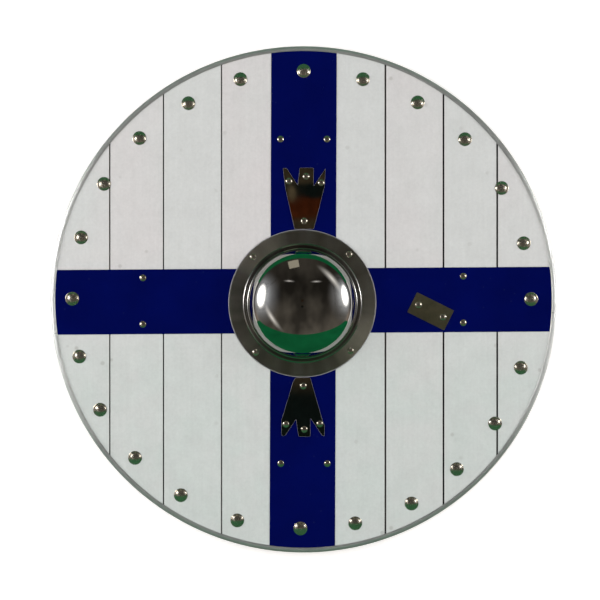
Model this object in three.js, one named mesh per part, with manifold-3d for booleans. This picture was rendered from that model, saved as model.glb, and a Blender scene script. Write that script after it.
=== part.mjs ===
// Wooden round shield, lying on its back with the boss up.
// Millimetres, +Z up. The origin is below the middle of the shield, on the surface it lies on.
// +Y is the top of the shield's face and +X is the right of the face, seen from the front.

import * as THREE from 'three';
import { mergeVertices } from 'three/addons/utils/BufferGeometryUtils.js';
import Module from 'manifold-3d';

const wasm = await Module();
wasm.setup();

// Whole shield
const shieldDiameter = 610;
const clearance = 0.3; // left between any two pieces that touch
const roundSteps = 48; // sides of the board and the rim

// Boards: an outer one at each side, and inner ones that share the width between them
const boardThickness = 10;
const outerBoardWidth = 71.7;
const jointSlips = [ - 0.4, - 1.3, 2, 0 ]; // how far each joint, from the middle out, is off an even split
const leftJointWidth = 1.4; // open joint between two boards, seen on the face
const rightJointWidth = 2;
const jointDepth = 4;

// Blue strips of the cross
const stripThickness = 0.5;
const uprightStrip = { width: 78.9, offset: - 0.4, lean: - 0.2 };
const crossStrip = { width: 78, offset: - 1.7, lean: 0.37 };

// Grip bar and battens behind the boards
const battenThickness = 18;
const battenWidth = 72;
const battenReach = 207; // from the middle of the shield to the end of each arm
const battenChamfer = 1.5;
const gripWidth = 34; // where the hand closes round the bar
const gripLength = 66; // straight part of the grip
const handHoleLedge = 7.5; // the hand hole is this much smaller than the dome all round
const gripShoulder = 9; // from the hand hole's edge to where the bar is full width
const battenSetback = 7; // from the hand hole's edge to a batten
const rivetRecessDepth = 3; // keeps the rivet tails clear of what the shield lies on
const rivetRecessMargin = 1; // round each rivet tail

// Rim of folded sheet in two lengths
const rimSheet = 1.2;
const rimWidth = 6;
const rimEdgeChamfer = 0.9;
const rimJointAngles = [ 93.1, 262.2 ]; // clockwise from the top of the face

// Boss
const bossCentre = new THREE.Vector2( - 1.4, - 4.8 );
const bossHeight = 56;
const bossSheet = 1.8;
const domeRadius = 64.5;
const crownCurvature = 100;
const shoulderCurvature = 22;
const footCurvature = 2.8; // where the dome's wall turns out into the flange
const beadCurvature = 2.9;
const beadHeight = 1.1;
const flangeWidth = 17.2; // from the bead to the flange's edge
const bossSteps = 36;
const footSteps = 2;
const beadSteps = 2;

// Rivets
const smallRivet = {
  headRadius: 4, headHeight: 1.5, shankRadius: 1.8, tailRadius: 3.4, tailHeight: 1.8,
  domeSteps: 2, sides: 8
};
const rimRivet = {
  headRadius: 8.3, headHeight: 3.65, shankRadius: 2.6, tailRadius: 5, tailHeight: 2.2,
  domeSteps: 2, sides: 10
};
const holeSides = 4; // square holes, as punched

// The rim rivets were set by hand, so each slips by a degree or so from its even place
const rimRivetInset = 28.8; // from the edge of the shield to a rivet's middle
const rimRivetRing = new THREE.Vector2( - 2.2, - 1.1 ); // the ring of rivets sits off the middle
const rimRivetSlips = [
  0.5, 0.5, 0.4, 0.4, 0.7, 0.6, - 0.3, 2.1, 2.5, 2.4, 1.6, 1.5,
  0.3, 1.3, 1.8, 1.6, 1.5, 0.8, 0.4, 0.9, 0.5, 0, 0.1, - 0.5
];
const rimRivetStrays = { 11: 2, 13: - 1.5, 23: - 2.5 }; // these sit outside or inside the ring
const bossRivetAngles = [ 43.6, 134.5, 223.5, 313.5 ]; // clockwise from the top, round the boss
const bossRivetInset = 7.7; // from the flange's edge
const bandRivetMargin = 8; // from the side of a batten to a rivet

// Arms of the cross, each with its strip and two rivets near the end of the batten behind it
const arms = [
  { name: 'upper', turn: 0, strip: uprightStrip, rivetInset: 14, rivetShift: 0.3 },
  { name: 'right', turn: - 90, strip: crossStrip, rivetInset: 14.6, rivetShift: 0.1 },
  { name: 'lower', turn: 180, strip: uprightStrip, rivetInset: 9.3, rivetShift: - 0.7 },
  { name: 'left', turn: 90, strip: crossStrip, rivetInset: 13.7, rivetShift: - 2.1 }
];

// Fork plates: the outline of each starts at the flange and runs outwards, right side first
const plateThickness = 1.5;
const upperFork = {
  name: 'fork_plate_upper', centreX: 0.8, turn: 0,
  outline: [
    [ 11.6, 0 ], [ 24.6, 51 ], [ 25.7, 73 ], [ 11.4, 51.5 ], [ 11.4, 73.8 ],
    [ - 5.4, 73.8 ], [ - 7.7, 52.9 ], [ - 21, 73.4 ], [ - 25.6, 73.4 ], [ - 22.7, 49 ], [ - 11.6, 0 ]
  ],
  rivets: [ [ 0, 9.8 ], [ 20.5, 56 ], [ 2.3, 63.5 ], [ - 18.4, 57.8 ] ]
};
const lowerFork = {
  name: 'fork_plate_lower', centreX: - 0.8, turn: 180,
  outline: [
    [ 8.9, 0 ], [ 11.6, 4.6 ], [ 25.7, 51 ], [ 25.9, 69.2 ], [ 23.6, 70.5 ], [ 21.1, 69.8 ],
    [ 8.2, 50.1 ], [ 5.1, 71.1 ], [ - 9, 71.1 ], [ - 9.1, 48.9 ], [ - 23.3, 69.8 ],
    [ - 26.2, 70.5 ], [ - 26.2, 57.4 ], [ - 23.7, 51.5 ], [ - 9, 0 ]
  ],
  rivets: [ [ - 0.6, 10.1 ], [ 20.3, 56.1 ], [ - 1.8, 62.3 ], [ - 20.5, 55.7 ] ]
};

// Patch plate on the right arm, its inset measured from the end of the batten behind it
const patch = {
  name: 'patch_plate', length: 49.8, width: 27, thickness: 1.2, tilt: - 26.5,
  inset: 54, y: - 14.4, rivetSpan: 33, rivetShift: 0.5
};

// Heights that follow from the sizes above
const shieldRadius = shieldDiameter / 2;
const boardRadius = shieldRadius - rimSheet - clearance;
const boardBack = battenThickness + clearance;
const boardFace = boardBack + boardThickness;
const bareSeat = boardFace + clearance; // metal that sits on the bare boards
const stripFace = bareSeat + stripThickness;
const stripSeat = stripFace + clearance; // metal that sits on the strips
const handHoleRadius = domeRadius - handHoleLedge;
const beadFoot = Math.sqrt( beadCurvature ** 2 - ( beadCurvature - beadHeight ) ** 2 );
const beadRadius = domeRadius + footCurvature + beadFoot;
const flangeRadius = beadRadius + beadFoot + flangeWidth;
const tallCut = 4 * ( stripFace + bossHeight );

// Finishes
const paintedBoard = { color: 0xd2d3d2, roughness: 0.62, metalness: 0 };
const blueStrip = { color: 0x05083f, roughness: 0.25, metalness: 0 };
const bareWood = { color: 0xb08a5c, roughness: 0.75, metalness: 0 };
const galvanisedSheet = { color: 0xb4bab8, roughness: 0.42, metalness: 1 };
const polishedSteel = { color: 0xa9a8a2, roughness: 0.12, metalness: 1 };
const platedSteel = { color: 0xc0c2bd, roughness: 0.15, metalness: 1 };
const dullSteel = { color: 0x6f6a5c, roughness: 0.5, metalness: 1 };

const shield = new THREE.Group();

// Turns a closed geometry into a solid that can be cut and joined.
function toSolid( geometry ) {
  const bare = geometry.clone();
  bare.deleteAttribute( 'normal' );
  bare.deleteAttribute( 'uv' );
  const merged = mergeVertices( bare, 1e-4 );
  const corners = merged.index.array;
  const triVerts = [];
  for ( let i = 0; i < corners.length; i += 3 ) {
    const [ a, b, c ] = corners.slice( i, i + 3 );
    if ( a !== b && b !== c && c !== a ) triVerts.push( a, b, c );
  }
  return new wasm.Manifold( new wasm.Mesh( {
    numProp: 3,
    vertProperties: merged.attributes.position.array,
    triVerts: new Uint32Array( triVerts )
  } ) );
}

function toGeometry( solid ) {
  const data = solid.getMesh();
  const geometry = new THREE.BufferGeometry();
  geometry.setAttribute( 'position', new THREE.BufferAttribute( data.vertProperties, 3 ) );
  geometry.setIndex( new THREE.BufferAttribute( data.triVerts, 1 ) );
  geometry.computeVertexNormals();
  return geometry;
}

function addPiece( name, geometry, finish, x, y, z ) {
  const mesh = new THREE.Mesh( geometry, new THREE.MeshStandardMaterial( finish ) );
  mesh.name = name;
  mesh.position.set( x, y, z );
  shield.add( mesh );
  return mesh;
}

// An upright prism through everything, centred on a point of the face.
function uprightPrism( radius, sides, x, y ) {
  const prism = new THREE.CylinderGeometry( radius, radius, tallCut, sides );
  prism.rotateX( Math.PI / 2 );
  prism.translate( x, y, 0 );
  return toSolid( prism );
}

// A turned piece: points of [radius, height] run from the axis round to the axis, upwards outside.
function turned( points, sides ) {
  const profile = points.map( ( [ r, z ] ) => new THREE.Vector2( r, z ) );
  return new THREE.LatheGeometry( profile, sides ).rotateX( Math.PI / 2 );
}

function extruded( shape, depth, curveSegments = 6 ) {
  return new THREE.ExtrudeGeometry( shape, { depth, bevelEnabled: false, curveSegments } );
}

// A point at an angle clockwise from the top of the face.
function onRing( radius, degrees, centre ) {
  const angle = THREE.MathUtils.degToRad( degrees );
  return {
    x: centre.x + radius * Math.sin( angle ),
    y: centre.y + radius * Math.cos( angle )
  };
}

function turnedPoint( [ x, y ], degrees ) {
  const point = new THREE.Vector2( x, y );
  return point.rotateAround( new THREE.Vector2(), THREE.MathUtils.degToRad( degrees ) );
}

// Rivets
// A rivet's seat is at height 0: a round head above, a shank of the given length, a peened tail.
function rivetGeometry( kind, shankLength ) {
  const { headRadius, headHeight, shankRadius, tailRadius, tailHeight, domeSteps, sides } = kind;
  const curvature = ( headRadius ** 2 + headHeight ** 2 ) / ( 2 * headHeight );
  const edgeAngle = Math.asin( headRadius / curvature );
  const points = [
    [ 0, - shankLength - tailHeight ],
    [ tailRadius, - shankLength ],
    [ shankRadius, - shankLength ],
    [ shankRadius, 0 ]
  ];
  for ( let i = 0; i < domeSteps; i ++ ) {
    const angle = edgeAngle * ( 1 - i / domeSteps );
    points.push( [ curvature * Math.sin( angle ), headHeight - curvature * ( 1 - Math.cos( angle ) ) ] );
  }
  points.push( [ 0, headHeight ] );
  return turned( points, sides );
}

function isOnStrip( x, y ) {
  const besideUpright = Math.abs( x - uprightStrip.offset ) > uprightStrip.width / 2;
  const besideCross = Math.abs( y - crossStrip.offset ) > crossStrip.width / 2;
  return ! ( besideUpright && besideCross );
}

function numbered( word, i ) {
  return `${ word }_${ String( i + 1 ).padStart( 2, '0' ) }`;
}

// Where each loose rivet goes, the height of its seat, and the height that its tail grips
const rivets = [];

rimRivetSlips.forEach( ( slip, i ) => {
  const angle = i * 360 / rimRivetSlips.length + slip;
  const ringRadius = shieldRadius - rimRivetInset + ( rimRivetStrays[ i + 1 ] ?? 0 );
  const place = onRing( ringRadius, angle, rimRivetRing );
  const seat = isOnStrip( place.x, place.y ) ? stripSeat : bareSeat;
  rivets.push( { name: numbered( 'rim_rivet', i ), kind: rimRivet, ...place, seat, behind: boardBack } );
} );

bossRivetAngles.forEach( ( angle, i ) => {
  const place = onRing( flangeRadius - bossRivetInset, angle, bossCentre );
  const seat = stripSeat + bossSheet + clearance;
  rivets.push( { name: numbered( 'boss_rivet', i ), kind: smallRivet, ...place, seat, behind: boardBack } );
} );

arms.forEach( ( arm, i ) => {
  [ - 1, 1 ].forEach( ( side, j ) => {
    const across = side * ( battenWidth / 2 - bandRivetMargin ) + arm.rivetShift;
    const place = turnedPoint( [ across, battenReach - arm.rivetInset ], arm.turn );
    rivets.push( {
      name: numbered( 'band_rivet', 2 * i + j ), kind: smallRivet, x: place.x, y: place.y,
      seat: stripSeat, behind: rivetRecessDepth
    } );
  } );
} );

for ( const rivet of rivets ) {
  const geometry = rivetGeometry( rivet.kind, rivet.seat - rivet.behind + clearance );
  addPiece( rivet.name, geometry, platedSteel, rivet.x, rivet.y, rivet.seat );
}

// Plates with their own rivets, which go through the wood behind them
const plateRivets = [];

function plateWithRivets( plate, shape, thickness, rivetPoints, place, finish ) {
  let solid = toSolid( extruded( shape, thickness ) );
  for ( const [ x, y ] of rivetPoints ) {
    const shankLength = stripSeat + thickness - rivetRecessDepth + clearance;
    const rivet = rivetGeometry( smallRivet, shankLength ).translate( x, y, thickness );
    solid = solid.add( toSolid( rivet ) );
    const through = turnedPoint( [ x, y ], place.turn );
    plateRivets.push( { kind: smallRivet, x: place.x + through.x, y: place.y + through.y } );
  }
  const mesh = addPiece( plate, toGeometry( solid ), finish, place.x, place.y, stripSeat );
  mesh.rotation.z = THREE.MathUtils.degToRad( place.turn );
}

for ( const fork of [ upperFork, lowerFork ] ) {
  const direction = fork.turn === 0 ? 1 : - 1;
  const shape = new THREE.Shape( fork.outline.map( ( [ x, y ] ) => new THREE.Vector2( x, y ) ) );
  const place = {
    x: fork.centreX,
    y: bossCentre.y + direction * ( flangeRadius + clearance ),
    turn: fork.turn
  };
  plateWithRivets( fork.name, shape, plateThickness, fork.rivets, place, polishedSteel );
}

const patchShape = new THREE.Shape( [
  new THREE.Vector2( - patch.length / 2, - patch.width / 2 ),
  new THREE.Vector2( patch.length / 2, - patch.width / 2 ),
  new THREE.Vector2( patch.length / 2, patch.width / 2 ),
  new THREE.Vector2( - patch.length / 2, patch.width / 2 )
] );
const patchRivets = [
  [ - patch.rivetSpan / 2, patch.rivetShift ],
  [ patch.rivetSpan / 2, patch.rivetShift ]
];
const patchPlace = { x: battenReach - patch.inset, y: patch.y, turn: patch.tilt };
plateWithRivets( patch.name, patchShape, patch.thickness, patchRivets, patchPlace, dullSteel );

// Holes that the rivets go through, as one solid in the frame of a piece with the given origin
function rivetHoles( fasteners, origin ) {
  const holes = fasteners.map( ( { kind, x, y } ) => {
    const radius = ( kind.shankRadius + clearance ) / Math.cos( Math.PI / holeSides );
    return uprightPrism( radius, holeSides, x - origin.x, y - origin.y );
  } );
  return holes.reduce( ( sum, hole ) => sum.add( hole ) );
}

const allHoles = rivetHoles( [ ...rivets, ...plateRivets ], new THREE.Vector2() );
const handHole = uprightPrism( handHoleRadius, bossSteps, bossCentre.x, bossCentre.y );

// Boards
const boardDisc = uprightPrism( boardRadius, roundSteps, 0, 0 );

// One board between two joints. An outer edge has no joint, so its joint width is 0.
function boardSolid( fromX, toX, fromJoint, toJoint, fromY, toY ) {
  const left = fromX + clearance / 2;
  const right = toX - clearance / 2;
  const faceLeft = fromX + Math.max( fromJoint, clearance ) / 2;
  const faceRight = toX - Math.max( toJoint, clearance ) / 2;
  const section = new THREE.Shape( [
    new THREE.Vector2( left, 0 ),
    new THREE.Vector2( right, 0 ),
    new THREE.Vector2( right, boardThickness - jointDepth ),
    new THREE.Vector2( faceRight, boardThickness - jointDepth ),
    new THREE.Vector2( faceRight, boardThickness ),
    new THREE.Vector2( faceLeft, boardThickness ),
    new THREE.Vector2( faceLeft, boardThickness - jointDepth ),
    new THREE.Vector2( left, boardThickness - jointDepth )
  ] );
  const board = extruded( section, toY - fromY ).rotateX( Math.PI / 2 ).translate( 0, toY, 0 );
  return toSolid( board ).intersect( boardDisc ).subtract( handHole ).subtract( allHoles );
}

const innerBoards = 2 * jointSlips.length - 1;
const innerBoardWidth = ( shieldDiameter - 2 * outerBoardWidth ) / innerBoards;
const joints = jointSlips.map( ( slip, i ) => ( i + 0.5 ) * innerBoardWidth + slip );

function addBoard( name, ...limits ) {
  addPiece( name, toGeometry( boardSolid( ...limits ) ), paintedBoard, 0, 0, boardBack );
}

const reach = shieldRadius;
const [ middle ] = joints;
addBoard( 'plank_center_upper', - middle, middle, leftJointWidth, rightJointWidth, 0, reach );
addBoard( 'plank_center_lower', - middle, middle, leftJointWidth, rightJointWidth, - reach, 0 );
joints.forEach( ( joint, i ) => {
  const isOuter = i === joints.length - 1;
  const next = isOuter ? reach : joints[ i + 1 ];
  const leftNext = isOuter ? 0 : leftJointWidth;
  const rightNext = isOuter ? 0 : rightJointWidth;
  addBoard( `plank_left_${ i + 1 }`, - next, - joint, leftNext, leftJointWidth, - reach, reach );
  addBoard( `plank_right_${ i + 1 }`, joint, next, rightJointWidth, rightNext, - reach, reach );
} );

// Blue strips, one on each arm of the cross, from the hand hole to under the rim

// A box along an arm of the cross from the middle of the shield outwards
function alongArm( { turn, strip }, width, height ) {
  const box = new THREE.BoxGeometry( width, shieldRadius, height );
  box.translate( 0, shieldRadius / 2, stripThickness / 2 );
  box.rotateZ( THREE.MathUtils.degToRad( turn + strip.lean ) );
  if ( strip === uprightStrip ) box.translate( strip.offset, 0, 0 );
  else box.translate( 0, strip.offset, 0 );
  return toSolid( box );
}

// The side strips stop at the upright ones.
const uprightArms = arms.filter( ( arm ) => arm.strip === uprightStrip );
const uprightBand = uprightArms
  .map( ( arm ) => alongArm( arm, uprightStrip.width + 2 * clearance, boardThickness ) )
  .reduce( ( sum, half ) => sum.add( half ) );

for ( const arm of arms ) {
  const whole = alongArm( arm, arm.strip.width, stripThickness ).intersect( boardDisc );
  const ended = uprightArms.includes( arm ) ? whole : whole.subtract( uprightBand );
  const strip = ended.subtract( handHole ).subtract( allHoles );
  addPiece( `cross_strip_${ arm.name }`, toGeometry( strip ), blueStrip, 0, 0, bareSeat );
}

// Grip bar and battens
const recesses = [ ...rivets, ...plateRivets ].map( ( { kind, x, y } ) => {
  const radius = ( kind.tailRadius + rivetRecessMargin ) / Math.cos( Math.PI / holeSides );
  const depth = 2 * rivetRecessDepth;
  const recess = new THREE.CylinderGeometry( radius, radius, depth, holeSides );
  return toSolid( recess.rotateX( Math.PI / 2 ).translate( x, y, 0 ) );
} );
const allRecesses = recesses.reduce( ( sum, recess ) => sum.add( recess ) );

function chamferedWood( shape ) {
  const geometry = new THREE.ExtrudeGeometry( shape, {
    depth: battenThickness - 2 * battenChamfer,
    bevelThickness: battenChamfer,
    bevelSize: battenChamfer,
    bevelOffset: - battenChamfer,
    bevelSegments: 1,
    curveSegments: 5
  } );
  return toSolid( geometry.translate( 0, 0, battenChamfer ) ).subtract( allHoles ).subtract( allRecesses );
}

// The bar is full width along both arms and narrows to a grip across the hand hole.
function gripShape() {
  const wide = battenWidth / 2;
  const narrow = gripWidth / 2;
  const shoulder = handHoleRadius + gripShoulder;
  const waist = gripLength / 2;
  const easing = ( waist + shoulder ) / 2;
  const shape = new THREE.Shape();
  shape.moveTo( - battenReach, - wide );
  shape.lineTo( - shoulder, - wide );
  shape.bezierCurveTo( - easing, - wide, - easing, - narrow, - waist, - narrow );
  shape.lineTo( waist, - narrow );
  shape.bezierCurveTo( easing, - narrow, easing, - wide, shoulder, - wide );
  shape.lineTo( battenReach, - wide );
  shape.lineTo( battenReach, wide );
  shape.lineTo( shoulder, wide );
  shape.bezierCurveTo( easing, wide, easing, narrow, waist, narrow );
  shape.lineTo( - waist, narrow );
  shape.bezierCurveTo( - easing, narrow, - easing, wide, - shoulder, wide );
  shape.lineTo( - battenReach, wide );
  shape.closePath();
  return shape;
}

addPiece( 'grip_bar', toGeometry( chamferedWood( gripShape() ) ), bareWood, 0, 0, 0 );

for ( const [ name, direction ] of [ [ 'batten_upper', 1 ], [ 'batten_lower', - 1 ] ] ) {
  const inner = bossCentre.y + direction * ( handHoleRadius + battenSetback );
  const outer = direction * battenReach;
  const shape = new THREE.Shape( [
    new THREE.Vector2( - battenWidth / 2, Math.min( inner, outer ) ),
    new THREE.Vector2( battenWidth / 2, Math.min( inner, outer ) ),
    new THREE.Vector2( battenWidth / 2, Math.max( inner, outer ) ),
    new THREE.Vector2( - battenWidth / 2, Math.max( inner, outer ) )
  ] );
  addPiece( name, toGeometry( chamferedWood( shape ) ), bareWood, 0, 0, 0 );
}

// Boss
// One side of the sheet from the crown to the flange's edge, set in by a depth.
function bossSide( depth, crownSteps, shoulderSteps ) {
  const points = [];
  const shoulderAcross = domeRadius - shoulderCurvature;
  const tangent = Math.asin( shoulderAcross / ( crownCurvature - shoulderCurvature ) );
  const crownCentre = bossHeight - crownCurvature;
  const shoulderCentre = crownCentre + ( crownCurvature - shoulderCurvature ) * Math.cos( tangent );
  for ( let i = 0; i <= crownSteps; i ++ ) {
    const angle = tangent * i / crownSteps;
    const radius = crownCurvature - depth;
    points.push( [ radius * Math.sin( angle ), crownCentre + radius * Math.cos( angle ) ] );
  }
  for ( let i = 1; i <= shoulderSteps; i ++ ) {
    const angle = tangent + ( Math.PI / 2 - tangent ) * i / shoulderSteps;
    const radius = shoulderCurvature - depth;
    const across = shoulderAcross + radius * Math.sin( angle );
    points.push( [ across, shoulderCentre + radius * Math.cos( angle ) ] );
  }
  for ( let i = 0; i <= footSteps; i ++ ) {
    const angle = Math.PI / 2 * i / footSteps;
    const radius = footCurvature + depth;
    const across = domeRadius + footCurvature - radius * Math.cos( angle );
    points.push( [ across, bossSheet + footCurvature - radius * Math.sin( angle ) ] );
  }
  const beadSection = beadCurvature - depth;
  const beadCentre = bossSheet + beadHeight - beadCurvature;
  const beadEnd = Math.acos( ( bossSheet - depth - beadCentre ) / beadSection );
  for ( let i = 0; i <= beadSteps; i ++ ) {
    const angle = beadEnd * ( 2 * i / beadSteps - 1 );
    const across = beadRadius + beadSection * Math.sin( angle );
    points.push( [ across, beadCentre + beadSection * Math.cos( angle ) ] );
  }
  points.push( [ flangeRadius, bossSheet - depth ] );
  return points;
}

const bossFace = bossSide( 0, 4, 3 );
const bossBack = bossSide( bossSheet, 3, 2 );
const bossSection = [ ...bossBack, ...bossFace.reverse() ];
bossSection[ 0 ][ 0 ] = 0;
const flangeHoles = rivetHoles( rivets.slice( rimRivetSlips.length ), bossCentre );
const boss = toSolid( turned( bossSection, bossSteps ) ).subtract( flangeHoles );
addPiece( 'boss', toGeometry( boss ), polishedSteel, bossCentre.x, bossCentre.y, stripSeat );

// Rim
function rimRing() {
  const inner = shieldRadius - rimWidth;
  const wall = shieldRadius - rimSheet;
  const chamfer = shieldRadius - rimEdgeChamfer;
  const bottom = boardBack - clearance - rimSheet;
  const top = stripSeat + rimSheet;
  return turned( [
    [ inner, bottom ],
    [ shieldRadius, bottom ],
    [ shieldRadius, top - rimEdgeChamfer ],
    [ chamfer, top ],
    [ inner, top ],
    [ inner, top - rimSheet ],
    [ wall, top - rimSheet ],
    [ wall, bottom + rimSheet ],
    [ inner, bottom + rimSheet ],
    [ inner, bottom ]
  ], roundSteps );
}

// A sector of the face between two angles clockwise from the top, less half a clearance each side.
function sector( fromAngle, toAngle ) {
  const farOut = 2 * shieldRadius;
  const trim = THREE.MathUtils.radToDeg( clearance / 2 / shieldRadius );
  const corners = [ new THREE.Vector2( 0, 0 ) ];
  const steps = 6;
  for ( let i = 0; i <= steps; i ++ ) {
    const angle = THREE.MathUtils.lerp( fromAngle + trim, toAngle - trim, i / steps );
    const { x, y } = onRing( farOut, angle, new THREE.Vector2() );
    corners.push( new THREE.Vector2( x, y ) );
  }
  return toSolid( extruded( new THREE.Shape( corners ), tallCut ).translate( 0, 0, - tallCut / 2 ) );
}

const ring = toSolid( rimRing() );
const [ rightJoint, leftJoint ] = rimJointAngles;
const upperRim = ring.intersect( sector( leftJoint - 360, rightJoint ) );
const lowerRim = ring.intersect( sector( rightJoint, leftJoint ) );
addPiece( 'rim_upper', toGeometry( upperRim ), galvanisedSheet, 0, 0, 0 );
addPiece( 'rim_lower', toGeometry( lowerRim ), galvanisedSheet, 0, 0, 0 );

export default shield;
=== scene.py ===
# Wooden round shield: off-white boards, a blue cross, a polished boss, a folded rim and rivets.
# Metres, +Z up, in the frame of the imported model. +Y is the top of the shield's face.

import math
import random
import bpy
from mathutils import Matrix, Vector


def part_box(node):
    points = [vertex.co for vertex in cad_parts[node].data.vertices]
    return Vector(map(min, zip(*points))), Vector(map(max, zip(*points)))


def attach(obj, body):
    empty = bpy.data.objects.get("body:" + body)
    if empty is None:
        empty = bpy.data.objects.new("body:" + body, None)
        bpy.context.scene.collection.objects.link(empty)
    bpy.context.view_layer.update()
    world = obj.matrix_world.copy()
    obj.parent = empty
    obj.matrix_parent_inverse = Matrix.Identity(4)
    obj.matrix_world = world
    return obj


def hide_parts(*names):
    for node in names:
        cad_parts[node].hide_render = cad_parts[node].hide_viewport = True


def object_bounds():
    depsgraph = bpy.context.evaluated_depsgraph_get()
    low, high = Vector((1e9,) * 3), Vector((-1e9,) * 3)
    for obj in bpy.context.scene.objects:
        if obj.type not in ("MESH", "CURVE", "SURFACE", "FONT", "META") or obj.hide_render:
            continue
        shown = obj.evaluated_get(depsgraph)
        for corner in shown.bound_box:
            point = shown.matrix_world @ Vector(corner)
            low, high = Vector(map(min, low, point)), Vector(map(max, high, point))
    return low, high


bl_info = {
    "name": "Wooden Round Shield",
    "version": (1, 0, 0),
    "blender": (4, 5, 0),
    "location": "3D View > Sidebar > Round Shield",
    "description": "Builds the finished pieces of a wooden round shield and its studio stage",
    "category": "Object",
}

import bmesh
import bpy
from bpy.props import FloatProperty, FloatVectorProperty, IntProperty, PointerProperty
from mathutils import Matrix, Vector

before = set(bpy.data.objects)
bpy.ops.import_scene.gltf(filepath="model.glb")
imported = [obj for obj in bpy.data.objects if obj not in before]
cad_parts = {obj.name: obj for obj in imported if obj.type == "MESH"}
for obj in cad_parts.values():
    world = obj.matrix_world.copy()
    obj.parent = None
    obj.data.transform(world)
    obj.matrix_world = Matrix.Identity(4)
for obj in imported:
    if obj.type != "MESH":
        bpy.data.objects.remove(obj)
CAD_LOW, CAD_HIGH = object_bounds()

MM = 0.001
UP = Vector((0, 0, 1))
WELD = 0.002 * MM
FLAT_ANGLE = math.radians(1)
SHARP_ANGLE = math.radians(38)
MOST_SIDES = 60  # of a face that is left whole

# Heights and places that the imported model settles
BOARD_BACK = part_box("plank_left_1")[0].z
BOARD_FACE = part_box("plank_left_1")[1].z
BOSS_LOW, BOSS_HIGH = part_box("boss")
BOSS_CENTRE = Vector(((BOSS_LOW.x + BOSS_HIGH.x) / 2, (BOSS_LOW.y + BOSS_HIGH.y) / 2, 0))
FLANGE_RADIUS = (BOSS_HIGH.x - BOSS_LOW.x) / 2
PLATE_SEAT = BOSS_LOW.z
RIM_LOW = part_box("rim_upper")[0].z
RIM_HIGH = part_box("rim_upper")[1].z
SHIELD_RADIUS = CAD_HIGH.x


def nodes_named(start):
    """The CAD nodes whose names begin in this way, in order."""
    return sorted(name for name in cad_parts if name.startswith(start))


# Sizes and colours that a user may change


def size(name, description, millimetres):
    """A length, given in millimetres."""
    return FloatProperty(
        name=name,
        description=description,
        default=millimetres * MM,
        min=0.0,
        precision=5,
        subtype="DISTANCE",
        unit="LENGTH",
    )


def glow(name, description, default):
    """How bright something is, as a plain factor."""
    return FloatProperty(name=name, description=description, default=default, min=0.0)


def colour(name, description, red, green, blue):
    return FloatVectorProperty(
        name=name,
        description=description,
        default=(red, green, blue),
        min=0.0,
        max=1.0,
        size=3,
        subtype="COLOR",
    )


class ShieldSizes(bpy.types.PropertyGroup):
    board_edge: size("Board edge", "Rounding of a board's edges at a joint", 0.3)
    strip_edge: size("Strip edge", "Rounding of a blue strip's edges", 0.12)
    wood_edge: size("Wood edge", "Rounding of the grip bar's and battens' edges", 0.7)
    rim_width: size("Rim width", "Width of the rim on the face", 6)
    rim_sheet: size("Rim sheet", "Thickness of the rim's sheet", 1.2)
    rim_crown: size("Rim crown", "How far the rim's inner lip lies below its top", 0.8)
    rim_fold_across: size("Rim fold across", "Rounding of the fold, across", 3.6)
    rim_fold_down: size("Rim fold down", "Rounding of the fold, downwards", 2.8)
    dome_radius: size("Dome radius", "Radius of the boss's dome at its wall", 64.5)
    crown_curvature: size("Crown curvature", "Radius of curvature of the crown", 100)
    shoulder_curvature: size("Shoulder curvature", "Radius between crown and wall", 22)
    foot_curvature: size("Foot curvature", "Radius where the wall turns into the flange", 2.8)
    bead_curvature: size("Bead curvature", "Radius of the raised bead's section", 2.9)
    bead_height: size("Bead height", "Height of the bead above the flange", 1.1)
    boss_sheet: size("Boss sheet", "Thickness of the boss's sheet", 1.8)
    boss_edge: size("Boss edge", "Rounding of the flange's outer edge", 0.8)
    large_head_height: size("Rim rivet height", "Height of a rim rivet's head", 3.65)
    small_head_height: size("Small rivet height", "Height of a small rivet's head", 1.5)
    fork_thickness: size("Fork plate", "Thickness of a fork plate", 1.5)
    patch_thickness: size("Patch plate", "Thickness of the patch plate", 1.2)
    plate_edge: size("Plate edge", "Rounding of a plate's cut edge", 0.5)
    round_steps: IntProperty(name="Round steps", description="Steps round the rim", default=288)
    boss_steps: IntProperty(name="Boss steps", description="Steps round the boss", default=180)


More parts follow.
